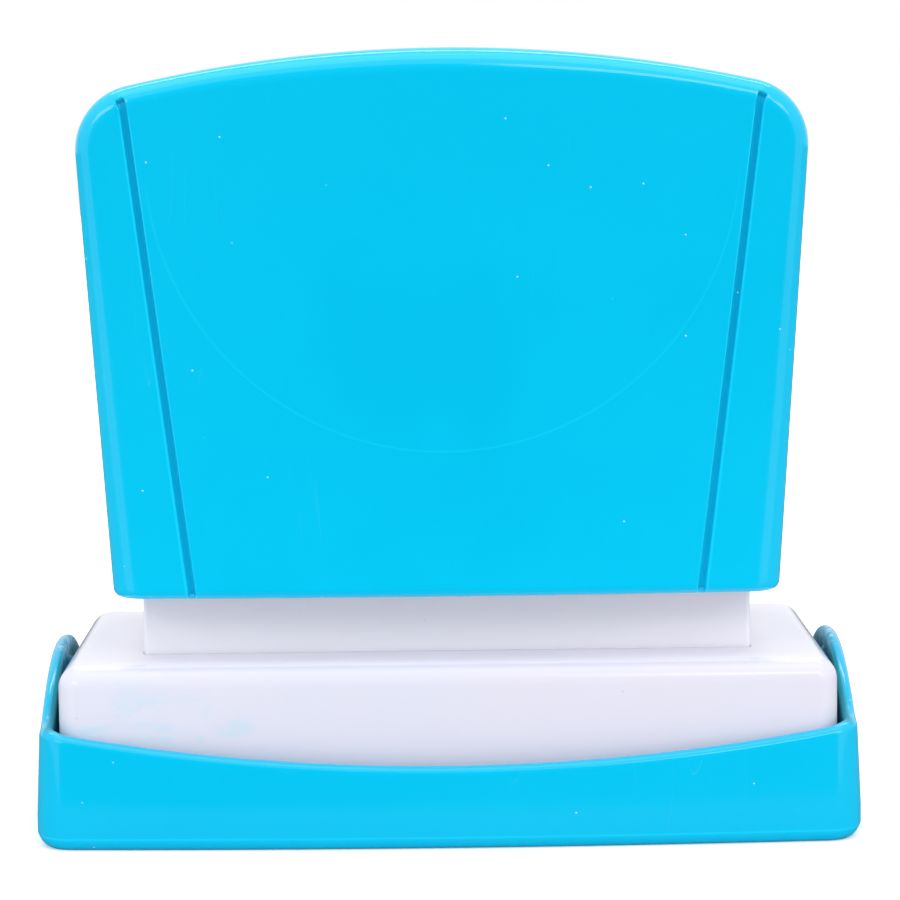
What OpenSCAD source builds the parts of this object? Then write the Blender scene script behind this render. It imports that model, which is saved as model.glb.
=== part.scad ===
// Pre-inked hand stamp with a spring-return skirt, standing in its dust cap.
// Origin: centre of the cap's underside. +X to the right, +Y to the back, +Z up.
// Press the handle: it slides down over the guide sleeve and brings the die to the skirt's rim.

/* [Skirt] */
// Width of the skirt, end to end
skirt_w = 75; // [66:0.5:90]
// Depth of the skirt, front to back
skirt_d = 36; // [34:0.5:50]
// Height of the skirt from its rim to the deck's top
skirt_h = 14.8; // [14:0.1:20]
// Thickness of the skirt's walls
skirt_wall = 1.8; // [1:0.1:2.4]
// Thickness of the skirt's deck
deck_t = 1.8; // [1:0.1:2.4]
// Radius of the skirt's upright corners
skirt_corner_r = 2.4; // [2:0.1:3.4]
// Rounding of the skirt's top edge
skirt_edge_r = 1.6; // [0.4:0.1:1.6]

/* [Dust cap] */
// Gap between the skirt's ends and the cap's end walls
cap_end_gap = 1.2; // [0.8:0.1:3]
// Gap between the skirt's front and the cap's front wall, at the wall's middle
cap_face_gap = 1.4; // [1.2:0.1:3]
// How far the cap's long walls bow outwards
cap_bow = 1.1; // [0.4:0.1:1.1]
// Wall thickness of the cap
cap_wall = 1.3; // [1:0.1:2]
// Thickness of the cap's floor
cap_floor = 1.5; // [1:0.1:3]
// Height of the ledges that carry the skirt's rim above the cap's floor
ledge_h = 1; // [0.5:0.1:2]
// Distance of the ledges' ends from the skirt's corners
ledge_inset = 11; // [6:0.5:14]
// Radius of the cap's upright corners
cap_corner_r = 3; // [2.6:0.1:4]
// Bevel round the cap's foot
cap_bevel = 1; // [0.3:0.1:1.2]
// Height of the cap's rim at the middle of its front and back
rim_mid_h = 7.9; // [6:0.1:9]
// How much the rim climbs from the middle of a long wall to the corner
rim_rise = 3.7; // [2:0.1:5]
// Height of the ears, the arched end walls of the cap
ear_h = 17.4; // [14:0.1:18]
// How much the line of an ear's arch falls from its top to the front or back wall
ear_fall = 11.6; // [9:0.1:13]
// Squareness of the ear's arch, 2 for a parabola
ear_power = 2; // [2:0.1:3]
// Width of the blend between the long walls' rim and the ears
rim_blend = 0.6; // [0.2:0.1:2]
// Rounding of the cap's rim
rim_round = 0.8; // [0.3:0.1:0.8]
// Base radius of the snap nub inside each ear
nub_r = 1.6; // [1:0.1:2]
// Gap between a snap nub and the skirt
nub_gap = 0.2; // [0.1:0.05:0.5]

/* [Guide sleeve] */
// Width of the deck's shelf between the neck and each end of the skirt
shelf_end = 7.8; // [6.5:0.05:10]
// Width of the deck's shelf between the neck and the skirt's front or back
shelf_face = 8.3; // [6.5:0.1:9.5]
// Wall thickness of the sleeve
sleeve_wall = 1.5; // [1:0.1:2]
// Rounding of the sleeve's upright edges
neck_edge_r = 0.5; // [0.2:0.1:1]
// Width of the flange that holds the sleeve under the deck
flange_w = 2.2; // [1:0.1:2.6]
// Thickness of that flange
flange_t = 1.4; // [1:0.1:2]
// Length of sleeve inside the handle
sleeve_overlap = 16.2; // [12:0.1:18]
// Height of the spring seat above the handle's lower edge
seat_rise = 6.2; // [4:0.1:8]
// Thickness of the web that carries the springs
web_t = 2; // [1.5:0.1:3]

/* [Handle] */
// Travel of the handle from rest until the die meets the paper
stroke = 5; // [3:0.1:5.5]
// Gap that is left under the handle at the end of its travel
press_margin = 1.2; // [1:0.1:3]
// Height of the handle
handle_h = 52.4; // [44:0.5:60]
// Widening of the handle on each side, from its lower edge to its shoulder
handle_flare = 2.7; // [0:0.1:4]
// Wall thickness of the handle
handle_wall = 1.4; // [1.2:0.1:2]
// Thickness of the handle's roof
roof_t = 2; // [1.5:0.1:3]
// How far the front and back of the handle bow outwards
handle_bow = 1.1; // [0.4:0.1:2]
// How far the ends of the handle bow outwards
handle_end_bow = 0.25; // [0.1:0.05:0.5]
// Radius of the handle's upright corners
handle_corner_r = 4.8; // [4.8:0.1:6.6]
// Radius of the arched top
arch_r = 137; // [100:1:250]
// Rounding between the arched top and the front or back
face_edge_r = 2.4; // [2:0.1:3]
// Rounding between the arched top and the ends
end_edge_r = 4.4; // [4:0.1:5.4]
// Rounding of the lower edge
foot_edge_r = 0.9; // [0.3:0.1:1.2]
// Width of the grooves on the front and back
groove_w = 0.6; // [0.4:0.1:1.5]
// Depth of the grooves where they are shallowest
groove_depth = 0.5; // [0.3:0.1:0.9]
// Distance of a groove from the middle, at the lower edge
groove_foot_x = 24.5; // [18:0.1:25]
// Distance of a groove from the middle, at the top
groove_top_x = 30.1; // [22:0.1:30.5]
// Thickness of the two stiffening ribs under the roof
rib_t = 1.4; // [0.8:0.1:2.5]
// Distance of those ribs from the middle
rib_x = 13; // [8:0.5:18]

/* [Handle core] */
// Thickness of the core's front and back walls
core_face_wall = 3.5; // [2.2:0.1:3.6]
// Thickness of the core's end walls
core_end_wall = 0.8; // [0.6:0.05:1.3]
// Distance of the core's foot above the handle's lower edge
core_setback = 1.2; // [0.5:0.1:3]
// Thickness of the core's top plate
core_top_t = 2; // [1.5:0.1:3]

/* [Posts, springs and screws] */
// Distance of each post's axis from the end of the neck
post_inset = 9.65; // [8.5:0.05:14]
// Diameter of the posts
post_d = 6; // [5:0.1:6.4]
// Depth of the sockets that take the posts' tops
socket_depth = 3; // [2:0.1:4]
// Outer diameter of the springs and of the bosses that press on them
spring_d = 9.4; // [8.9:0.1:10.4]
// Wire diameter of the springs
wire_d = 0.9; // [0.5:0.05:1]
// Number of turns in each spring
spring_turns = 7; // [5:1:8]
// Length of the springs with the handle up
spring_len = 14; // [13:0.1:16]
// Diameter of the screws' threads
screw_d = 2.9; // [2.5:0.1:3]
// Length of the screws under the head
screw_len = 12; // [8:0.5:14]
// Diameter of the screw heads
screw_head_d = 5.6; // [4.8:0.1:6]
// Height of the screw heads
screw_head_h = 2; // [1.5:0.1:2.4]
// Length of the cross recess in the screw heads
recess_l = 3.4; // [2:0.1:4]
// Width of the arms of that recess
recess_w = 0.8; // [0.5:0.1:1.2]

/* [Die] */
// Gap between the carrier plate and the skirt's walls
plate_gap = 1.2; // [0.6:0.1:2]
// Radius of the plate's corners
plate_corner_r = 1.1; // [0.5:0.1:1.5]
// Thickness of the carrier plate
plate_t = 2; // [1.5:0.1:2.4]
// Width of the margin between the die's face and the edge of the die frame
frame_margin = 4; // [3.4:0.1:5]
// Wall thickness of the die frame
frame_wall = 2.2; // [1.6:0.1:2.4]
// Thickness of the lip that holds the die
frame_lip = 0.7; // [0.5:0.1:0.9]
// Height of the die's face below that lip
die_proud = 0.7; // [0.6:0.1:1.2]
// Thickness of the die's flange, above the lip
die_flange = 0.7; // [0.5:0.1:1]
// Height of the raised pattern on the die
relief_h = 0.5; // [0.3:0.1:0.5]
// Width of the raised lines on the die
relief_line = 0.9; // [0.5:0.1:1.4]
// Number of raised rows inside the border
relief_rows = 3; // [1:1:5]
// Length of the first, third and fifth row
long_row = 46; // [30:0.5:50]
// Length of the rows between them
short_row = 38; // [20:0.5:50]

/* [Clearances] */
// Sliding clearance of the sleeve in the core
slide_gap = 0.15; // [0.1:0.05:0.25]
// Radial clearance of the posts in the web
post_gap = 0.08; // [0.03:0.01:0.1]
// Radial clearance round the screw heads
head_gap = 0.2; // [0.1:0.05:0.4]
// Clearance between pieces that are fixed to each other
fit_gap = 0.1; // [0.05:0.05:0.2]
// Clearance of the carrier plate under the sleeve's flange, with the handle up
stop_gap = 0.05; // [0.02:0.01:0.2]

/* [Hidden] */

$fn = 48;
eps = 0.01;
// Steps along a long face, round a corner and along an end of every plan outline
face_steps = 12;
corner_steps = 6;
end_steps = 8;
plan_points = 2 * face_steps + 4 * corner_steps + 2 * end_steps;
// Steps round an edge rounding
edge_steps = 4;

// Levels, from the table up
skirt_foot_z = cap_floor + ledge_h;
deck_z = skirt_foot_z + skirt_h;
handle_z = deck_z + stroke + press_margin;
handle_top_z = handle_z + handle_h;
seat_z = handle_z + seat_rise;
sleeve_top_z = handle_z + sleeve_overlap;
boss_z = seat_z + spring_len;
post_top_z = boss_z + socket_depth;
screw_seat_z = post_top_z + web_t;
core_top_z = screw_seat_z + screw_head_h + core_top_t;
flange_z = deck_z - deck_t - flange_t;
plate_top_z = flange_z - stop_gap;
plate_z = plate_top_z - plate_t;
die_face_z = skirt_foot_z + stroke;
lip_z = die_face_z + die_proud;
die_back_z = lip_z + frame_lip + die_flange;

// Sizes that follow from the skirt
neck_w = skirt_w - 2 * shelf_end;
neck_d = skirt_d - 2 * shelf_face;
post_x = neck_w / 2 - post_inset;
plate_w = skirt_w - 2 * skirt_wall - 2 * plate_gap;
plate_d = skirt_d - 2 * skirt_wall - 2 * plate_gap;

// Half sizes in plan
cap_hw = skirt_w / 2 + cap_end_gap + cap_wall;
cap_hd = skirt_d / 2 + cap_face_gap + cap_wall;
core_hw = neck_w / 2 + slide_gap + core_end_wall;
core_hd = neck_d / 2 + slide_gap + core_face_wall;
core_corner_r = handle_corner_r - handle_wall;
foot_hw = core_hw + fit_gap + handle_wall + handle_end_bow;
handle_hw = foot_hw + handle_flare;
handle_hd = core_hd + fit_gap + handle_wall + handle_bow;
shoulder_z = arch_z(handle_hw) - end_edge_r;
frame_cavity_w = plate_w - 2 * frame_wall;
frame_cavity_d = plate_d - 2 * frame_wall;
die_w = plate_w - 2 * frame_margin;
die_d = plate_d - 2 * frame_margin;

// Height of the handle's arched top at a distance x from the middle
function arch_z(x) = handle_top_z - arch_r + sqrt(arch_r * arch_r - x * x);

// A soft maximum of a and b, which rounds the place where they cross over a width k
function soft_max(a, b, k) = (a + b + sqrt((a - b) * (a - b) + k * k)) / 2;

// Arc and straight of a plan outline, n points without the last, each [x, y, angle of its normal]
function arc(c, r, a0, a1, n) =
    [for (i = [0:n - 1]) let (a = a0 + (a1 - a0) * i / n) [c.x + r * cos(a), c.y + r * sin(a), a]];
function run(p, q, a, n) =
    [for (i = [0:n - 1]) let (t = i / n) [p.x + (q.x - p.x) * t, p.y + (q.y - p.y) * t, a]];

// Side of a plan outline whose normal points at the angle turn, reach from the centre, bowed by an arc
// that is tangent to corners of radius r, with their centres half to each side
function plan_side(turn, reach, half, r, bow, n) =
    let (
        tilt = 2 * atan(bow / half),
        side_r = bow > 0 ? r + half / sin(tilt) : 0,
        out = [cos(turn), sin(turn)],
        along = [sin(turn), -cos(turn)]
    )
    bow > 0
        ? arc((reach - side_r) * out, side_r, turn - tilt, turn + tilt, n)
        : run(reach * out + half * along, reach * out - half * along, turn, n);

// Plan outline with half sizes hw and hd, corners of radius r, and long faces and ends that bow outwards
function plan(hw, hd, r, bow = 0, end_bow = 0) =
    let (
        cx = hw - end_bow - r,
        cy = hd - bow - r,
        tilt = 2 * atan(bow / cx),
        end_tilt = 2 * atan(end_bow / cy)
    )
    concat(
        plan_side(-90, hd, cx, r, bow, face_steps),
        arc([cx, -cy], r, tilt - 90, -end_tilt, corner_steps),
        plan_side(0, hw, cy, r, end_bow, end_steps),
        arc([cx, cy], r, end_tilt, 90 - tilt, corner_steps),
        plan_side(90, hd, cx, r, bow, face_steps),
        arc([-cx, cy], r, 90 + tilt, 180 - end_tilt, corner_steps),
        plan_side(180, hw, cy, r, end_bow, end_steps),
        arc([-cx, -cy], r, 180 + end_tilt, 270 - tilt, corner_steps)
    );

// One closed skin through a list of rings with plan_points points each. The first and last ring are closed
// flat, closed with strips from front to back where they are arched, or joined to each other in a loop.
module skin(rings, ends = "flat") {
    n = plan_points;
    last = len(rings) - 1;
    total = len(rings) * n;
    first_x = -(corner_steps + end_steps / 2);
    last_x = face_steps + corner_steps + end_steps / 2;
    function front(i) = (i + n) % n;
    function back(i) = (2 * face_steps + 2 * corner_steps + end_steps - i + n) % n;
    function strip(i, base, up) =
        let (a = front(i), b = front(i + 1), c = back(i + 1), d = back(i))
        concat(
            a == d ? [] : [up ? [base + a, base + d, base + b] : [base + a, base + b, base + d]],
            b == c ? [] : [up ? [base + b, base + d, base + c] : [base + b, base + c, base + d]]
        );
    sides = [
        for (k = [0:ends == "looped" ? last : last - 1], i = [0:n - 1])
            let (a = k * n + i, b = k * n + (i + 1) % n, c = (b + n) % total, d = (a + n) % total)
            each [[a, d, c], [a, c, b]]
    ];
    arched_ends = [for (i = [first_x:last_x - 1]) each concat(strip(i, 0, false), strip(i, last * n, true))];
    flat_ends = [[for (i = [0:n - 1]) i], [for (i = [n - 1:-1:0]) last * n + i]];
    polyhedron(
        points = [for (ring = rings) each ring],
        faces = concat(sides, ends == "flat" ? flat_ends : ends == "arched" ? arched_ends : []),
        convexity = 8
    );
}

// A ring of a plan outline, moved inwards along its normals and set at one height
function ring(outline, inset, z) =
    [for (p = outline) [p.x - inset * cos(p.z), p.y - inset * sin(p.z), z]];

// Upright block with rounded upright edges, centred in plan
module rounded_block(w, d, h, r) {
    linear_extrude(h) {
        square([w - 2 * r, d], center = true);
        square([w, d - 2 * r], center = true);
        for (x = [-1, 1], y = [-1, 1])
            translate([x * (w / 2 - r), y * (d / 2 - r)])
                circle(r);
    }
}

// Height of the cap's rim over a point of its outline
function rim_z(p) =
    let (
        front = rim_mid_h + rim_rise * pow(p.x / cap_hw, 2),
        ear = ear_h - ear_fall * pow(abs(p.y) / cap_hd, ear_power)
    )
    soft_max(front, ear, rim_blend);

module cap_ledges() {
    inner_x = cap_hw - cap_wall / 2;
    inner_y = cap_hd - cap_bow - cap_wall / 2;
    rim_x = skirt_w / 2 - skirt_wall;
    rim_y = skirt_d / 2 - skirt_wall;
    long = skirt_w - 2 * ledge_inset;
    short = skirt_d - 2 * ledge_inset;
    for (side = [-1, 1]) {
        translate([-long / 2, side > 0 ? rim_y : -inner_y, cap_floor - eps])
            cube([long, inner_y - rim_y, ledge_h + eps]);
        translate([side > 0 ? rim_x : -inner_x, -short / 2, cap_floor - eps])
            cube([inner_x - rim_x, short, ledge_h + eps]);
    }
}

module dust_cap() {
    outline = plan(cap_hw, cap_hd, cap_corner_r, cap_bow);
    color("deepskyblue") {
        skin(concat(
            [ring(outline, cap_bevel, 0), ring(outline, 0, cap_bevel)],
            [for (i = [0:edge_steps])
                let (a = 90 * i / edge_steps)
                [for (p = outline)
                    let (inset = rim_round * (1 - cos(a)), drop = rim_round * (1 - sin(a)))
                    [p.x - inset * cos(p.z), p.y - inset * sin(p.z), rim_z(p) - drop]]],
            [[for (p = outline) [p.x - cap_wall * cos(p.z), p.y - cap_wall * sin(p.z), rim_z(p) - eps]]],
            [ring(outline, cap_wall, cap_floor)]
        ));
        cap_ledges();
        nub_z = ear_h - 2 * nub_r;
        for (side = [-1, 1])
            translate([side * (cap_hw - cap_wall / 2), 0, nub_z])
                rotate([0, side * -90, 0])
                    cylinder(h = cap_wall / 2 + cap_end_gap - nub_gap, r1 = nub_r, r2 = nub_r / 2);
    }
}

module skirt() {
    outline = plan(skirt_w / 2, skirt_d / 2, skirt_corner_r);
    opening = plan(neck_w / 2 + fit_gap, neck_d / 2 + fit_gap, neck_edge_r + fit_gap);
    edge_r = min(skirt_edge_r, skirt_corner_r - eps);
    color("ghostwhite")
        skin(concat(
            [ring(opening, 0, deck_z), ring(opening, 0, deck_z - deck_t)],
            [ring(outline, skirt_wall, deck_z - deck_t), ring(outline, skirt_wall, skirt_foot_z)],
            [ring(outline, 0, skirt_foot_z)],
            [for (i = [0:edge_steps])
                let (a = 90 * i / edge_steps)
                ring(outline, edge_r * (1 - cos(a)), deck_z - edge_r * (1 - sin(a)))]
        ), ends = "looped");
}

// The two places of the posts
module at_posts() {
    for (side = [-1, 1])
        translate([side * post_x, 0, 0])
            children();
}

module guide_sleeve() {
    inner_w = neck_w - 2 * sleeve_wall;
    inner_d = neck_d - 2 * sleeve_wall;
    color("ghostwhite")
        difference() {
            union() {
                translate([0, 0, flange_z])
                    rounded_block(neck_w + 2 * flange_w, neck_d + 2 * flange_w, flange_t, neck_edge_r);
                translate([0, 0, flange_z])
                    rounded_block(neck_w, neck_d, sleeve_top_z - flange_z, neck_edge_r);
            }
            translate([-inner_w / 2, -inner_d / 2, flange_z - 1])
                cube([inner_w, inner_d, seat_z - web_t - flange_z + 1]);
            translate([-inner_w / 2, -inner_d / 2, seat_z])
                cube([inner_w, inner_d, sleeve_top_z - seat_z + 1]);
            at_posts()
                translate([0, 0, flange_z])
                    cylinder(h = seat_z - flange_z + 1, d = post_d + 2 * post_gap);
        }
}

// Outline of the handle at its widest, before it narrows towards the foot
function handle_plan() = plan(handle_hw, handle_hd, handle_corner_r, handle_bow, handle_end_bow);

// Share of the shoulder's half width that the handle has at height z
function flare(z) =
    let (t = min(1, max(0, (z - handle_z) / (shoulder_z - handle_z))))
    (foot_hw + (handle_hw - foot_hw) * t) / handle_hw;

// Rounding of the top edge over a point of the plan outline
function top_edge_r(p, inset) = face_edge_r + (end_edge_r - face_edge_r) * pow(cos(p.z), 2) - inset;

// Ring of the handle's foot at height z
function foot_ring(inset, z) =
    [for (p = handle_plan()) [p.x * flare(z) - inset * cos(p.z), p.y - inset * sin(p.z), z]];

// Ring of the handle's top rounding: a runs from 0 at the wall to 90 on the roof
function top_ring(a, inset, drop) = [
    for (p = handle_plan())
        let (
            r = top_edge_r(p, inset),
            i = inset + r * (1 - cos(a)),
            edge_z = arch_z(p.x) - drop - r,
            x = p.x * flare(edge_z) - i * cos(p.z)
        )
        [x, p.y - i * sin(p.z), arch_z(x) - drop - r * (1 - sin(a))]
];

// Slot for one groove: it leans with the handle's side and is open at the top
module groove(side, face) {
    rise = arch_z(groove_top_x) - face_edge_r / 2 - handle_z;
    lean = atan((groove_top_x - groove_foot_x) / rise);
    floor_y = handle_hd - handle_bow - groove_depth;
    translate([side * groove_foot_x, face > 0 ? floor_y : -floor_y - handle_wall, handle_z + groove_w])
        rotate([0, side * lean, 0])
            translate([-groove_w / 2, 0, 0])
                cube([groove_w, handle_wall, rise]);
}

module handle_ribs() {
    half_d = handle_hd - handle_bow * pow(rib_x / handle_hw, 2) - handle_wall / 2;
    top_z = arch_z(rib_x) - roof_t / 2;
    for (side = [-1, 1])
        translate([side * rib_x - rib_t / 2, -half_d, core_top_z])
            cube([rib_t, 2 * half_d, top_z - core_top_z]);
}

module handle() {
    inside = [for (i = [0:edge_steps]) top_ring(90 - 90 * i / edge_steps, handle_wall, roof_t)];
    inner_foot = [foot_ring(handle_wall, handle_z)];
    outer_foot = [
        for (i = [0:edge_steps])
            let (b = 90 * i / edge_steps)
            foot_ring(foot_edge_r * (1 - sin(b)), handle_z + foot_edge_r * (1 - cos(b)))
    ];
    outside = [for (i = [0:edge_steps]) top_ring(90 * i / edge_steps, 0, 0)];
    color("deepskyblue")
        difference() {
            union() {
                skin(concat(inside, inner_foot, outer_foot, outside), ends = "arched");
                handle_ribs();
            }
            for (side = [-1, 1], face = [-1, 1])
                groove(side, face);
        }
}

module handle_core() {
    foot_z = handle_z + core_setback;
    inner_w = neck_w + 2 * slide_gap;
    inner_d = neck_d + 2 * slide_gap;
    ceiling_z = core_top_z - core_top_t;
    color("whitesmoke")
        difference() {
            union() {
                difference() {
                    translate([0, 0, foot_z])
                        rounded_block(2 * core_hw, 2 * core_hd, core_top_z - foot_z, core_corner_r);
                    translate([-inner_w / 2, -inner_d / 2, foot_z - 1])
                        cube([inner_w, inner_d, ceiling_z - foot_z + 1]);
                }
                at_posts()
                    translate([0, 0, boss_z])
                        cylinder(h = ceiling_z - boss_z + eps, d = spring_d);
            }
            at_posts() {
                translate([0, 0, boss_z - 1])
                    cylinder(h = socket_depth + 1, d = post_d + 2 * fit_gap);
                translate([0, 0, post_top_z - eps])
                    cylinder(h = web_t + 2 * eps, d = screw_d + 2 * fit_gap);
                translate([0, 0, screw_seat_z])
                    cylinder(h = core_top_z - screw_seat_z + 1, d = screw_head_d + 2 * head_gap);
            }
        }
}

module core_screws() {
    color("silver")
        at_posts() {
            translate([0, 0, screw_seat_z - screw_len])
                cylinder(h = screw_len + eps, d = screw_d);
            difference() {
                translate([0, 0, screw_seat_z])
                    cylinder(h = screw_head_h, d = screw_head_d);
                for (turn = [0, 90])
                    translate([0, 0, screw_seat_z + screw_head_h])
                        rotate([0, 0, turn])
                            cube([recess_l, recess_w, screw_head_h], center = true);
            }
        }
}

module die_carrier() {
    color("gainsboro")
        difference() {
            union() {
                translate([0, 0, plate_z])
                    rounded_block(plate_w, plate_d, plate_t, plate_corner_r);
                at_posts()
                    translate([0, 0, plate_z])
                        cylinder(h = post_top_z - plate_z, d = post_d);
            }
            at_posts()
                translate([0, 0, screw_seat_z - screw_len - 1])
                    cylinder(h = screw_len + 2, d = screw_d + fit_gap);
        }
}

// Coiled wire between the seat on the sleeve's web and the boss of the core
module spring(side) {
    turn_steps = 16;
    wire_steps = 6;
    coil_r = (spring_d - wire_d) / 2;
    steps = turn_steps * spring_turns;
    low_z = seat_z + wire_d / 2;
    rise = spring_len - wire_d;
    points = [
        for (k = [0:steps], j = [0:wire_steps - 1])
            let (
                turn = 360 * k / turn_steps,
                a = 360 * j / wire_steps,
                r = coil_r + wire_d / 2 * cos(a)
            )
            [side * post_x + r * cos(turn), r * sin(turn), low_z + rise * k / steps + wire_d / 2 * sin(a)]
    ];
    sides = [
        for (k = [0:steps - 1], j = [0:wire_steps - 1])
            let (
                a = k * wire_steps + j,
                b = k * wire_steps + (j + 1) % wire_steps,
                c = b + wire_steps,
                d = a + wire_steps
            )
            each [[a, b, c], [a, c, d]]
    ];
    first_end = [[for (j = [wire_steps - 1:-1:0]) j]];
    last_end = [[for (j = [0:wire_steps - 1]) steps * wire_steps + j]];
    color("silver")
        polyhedron(points = points, faces = concat(sides, first_end, last_end), convexity = 12);
}

module left_spring() {
    spring(-1);
}

module right_spring() {
    spring(1);
}

module ink_reservoir() {
    color("slategray")
        translate([0, 0, die_back_z])
            rounded_block(frame_cavity_w - 2 * fit_gap, frame_cavity_d - 2 * fit_gap,
                          plate_z - die_back_z, neck_edge_r);
}

// Raised border and plain rows on the face of the die
module die_relief() {
    border_w = die_w - 2 * relief_line;
    border_d = die_d - 2 * relief_line;
    inner_d = border_d - 2 * relief_line;
    pitch = inner_d / (relief_rows + 0.5);
    row_d = pitch / 2;
    linear_extrude(relief_h + eps) {
        difference() {
            square([border_w, border_d], center = true);
            square([border_w - 2 * relief_line, inner_d], center = true);
        }
        for (i = [0:relief_rows - 1])
            translate([0, (i - (relief_rows - 1) / 2) * pitch])
                square([i % 2 == 0 ? long_row : short_row, row_d], center = true);
    }
}

module stamp_die() {
    flange_low_z = lip_z + frame_lip;
    color("dimgray") {
        translate([0, 0, die_face_z])
            die_relief();
        translate([0, 0, die_face_z + relief_h])
            rounded_block(die_w, die_d, flange_low_z - die_face_z - relief_h + eps, neck_edge_r);
        translate([0, 0, flange_low_z])
            rounded_block(frame_cavity_w - 2 * fit_gap, frame_cavity_d - 2 * fit_gap,
                          die_flange, neck_edge_r);
    }
}

module die_frame() {
    color("gainsboro")
        difference() {
            translate([0, 0, lip_z])
                rounded_block(plate_w, plate_d, plate_z - lip_z, plate_corner_r);
            translate([0, 0, lip_z + frame_lip])
                rounded_block(frame_cavity_w, frame_cavity_d, plate_z - lip_z, neck_edge_r);
            translate([0, 0, lip_z - 1])
                rounded_block(die_w + 2 * fit_gap, die_d + 2 * fit_gap, frame_lip + 2, neck_edge_r);
        }
}

dust_cap();
skirt();
guide_sleeve();
handle();
handle_core();
core_screws();
die_carrier();
left_spring();
right_spring();
ink_reservoir();
stamp_die();
die_frame();
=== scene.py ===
import math
from functools import partial

import bmesh
import bpy
import numpy as np
from mathutils import Matrix, Vector


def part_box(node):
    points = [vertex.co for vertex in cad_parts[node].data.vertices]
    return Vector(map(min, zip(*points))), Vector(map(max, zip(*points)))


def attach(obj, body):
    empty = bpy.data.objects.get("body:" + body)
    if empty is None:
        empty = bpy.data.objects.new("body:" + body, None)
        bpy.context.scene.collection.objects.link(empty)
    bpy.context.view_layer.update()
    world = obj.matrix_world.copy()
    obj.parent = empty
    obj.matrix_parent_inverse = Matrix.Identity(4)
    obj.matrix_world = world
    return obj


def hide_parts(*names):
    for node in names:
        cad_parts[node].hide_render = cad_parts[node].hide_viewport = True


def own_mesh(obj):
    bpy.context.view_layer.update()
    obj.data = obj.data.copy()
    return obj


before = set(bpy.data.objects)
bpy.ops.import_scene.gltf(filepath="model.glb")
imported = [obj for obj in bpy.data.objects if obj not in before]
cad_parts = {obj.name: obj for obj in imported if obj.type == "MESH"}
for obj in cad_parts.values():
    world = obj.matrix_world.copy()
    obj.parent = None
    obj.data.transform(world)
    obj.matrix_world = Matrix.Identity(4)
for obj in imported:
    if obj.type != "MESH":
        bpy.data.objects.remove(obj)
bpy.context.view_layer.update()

mm = 0.001


def span(node):
    # low and high corner of a CAD node in millimetres, as two numpy rows
    low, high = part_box(node)
    return np.array(low) / mm, np.array(high) / mm


# surfaces
# Every shell is a grid: rows follow a profile, columns run round a plan outline.
# The outline is made of four mirrored quarters. Along one quarter the arc length s runs over a long bowed
# face, round a corner and along half an end; alpha is the angle of its normal, from the front to the side.


def planQuarter(width, plan, counts):
    # An arc with a bow over the half chord c turns through 2 * atan(bow / c) and has the radius
    # corner + c / sin(that angle). The arcs join tangentially, so a point is its arc's centre plus
    # radius * (sin alpha, cos alpha), and alpha grows by s / radius along each arc.
    corner, depth = plan["corner"], plan["depth"]
    cornerX, cornerY = width - plan["endBow"] - corner, depth - plan["bow"] - corner
    tilt, endTilt = 2 * np.arctan(plan["bow"] / cornerX), 2 * np.arctan(plan["endBow"] / cornerY)
    faceR, endR = corner + cornerX / np.sin(tilt), corner + cornerY / np.sin(endTilt)
    faceEnd = faceR * tilt
    cornerEnd = faceEnd + corner * (np.pi / 2 - tilt - endTilt)
    s = np.concatenate([
        np.linspace(0, faceEnd, counts[0])[:-1],
        np.linspace(faceEnd, cornerEnd, counts[1])[:-1],
        np.linspace(cornerEnd, cornerEnd + endR * endTilt, counts[2]),
    ])[None, :]
    onFace, onEnd = s < faceEnd, s > cornerEnd
    alpha = np.where(onFace, s / faceR, tilt + (s - faceEnd) / corner)
    alpha = np.where(onEnd, np.pi / 2 - endTilt + (s - cornerEnd) / endR, alpha)
    x = np.where(onFace, faceR * np.sin(alpha), cornerX + corner * np.sin(alpha))
    x = np.where(onEnd, width - endR + endR * np.sin(alpha), x)
    y = np.where(onFace, depth - faceR + faceR * np.cos(alpha), cornerY + corner * np.cos(alpha))
    y = np.where(onEnd, endR * np.cos(alpha), y)
    return x, y, alpha


def boxQuarter(width, depth, corner, counts):
    # quarter of a rounded rectangle; a bow of almost nothing keeps the arcs' radii finite
    return planQuarter(width, {"depth": depth, "corner": corner, "bow": 1e-5, "endBow": 1e-5}, counts)


def ring(quarter, inset, z):
    # the quarter's outline moved in along its own normals, at the height z
    x, y, alpha = quarter
    return x - inset * np.sin(alpha), y - inset * np.cos(alpha), z + 0 * x


def quarterRound(wall, radius, top, steps):
    # rings of a wall that turns in by a quarter circle: radius * (1 - cos a) in, radius * (1 - sin a) below top
    turn = np.linspace(0, np.pi / 2, steps)
    return [wall(radius * (1 - np.cos(a)), top - radius * (1 - np.sin(a))) for a in turn]


def shrunk(edge, shares):
    # rings at the height of the ring edge, shrunk towards its middle
    x, y, z = edge
    return [(x * share, y * share, z) for share in shares]


def mirrored(quarter):
    # a row's quarter columns become the whole loop, anticlockwise seen from above, from the front's middle
    x, y, z = quarter
    back = slice(-2, None, -1)
    left = slice(1, None)
    leftBack = slice(-2, 0, -1)
    loopX = np.concatenate([x, x[:, back], -x[:, left], -x[:, leftBack]], axis=1)
    loopY = np.concatenate([-y, y[:, back], y[:, left], -y[:, leftBack]], axis=1)
    loopZ = np.concatenate([z, z[:, back], z[:, left], z[:, leftBack]], axis=1)
    return np.stack([loopX, loopY, loopZ], axis=-1)


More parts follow.
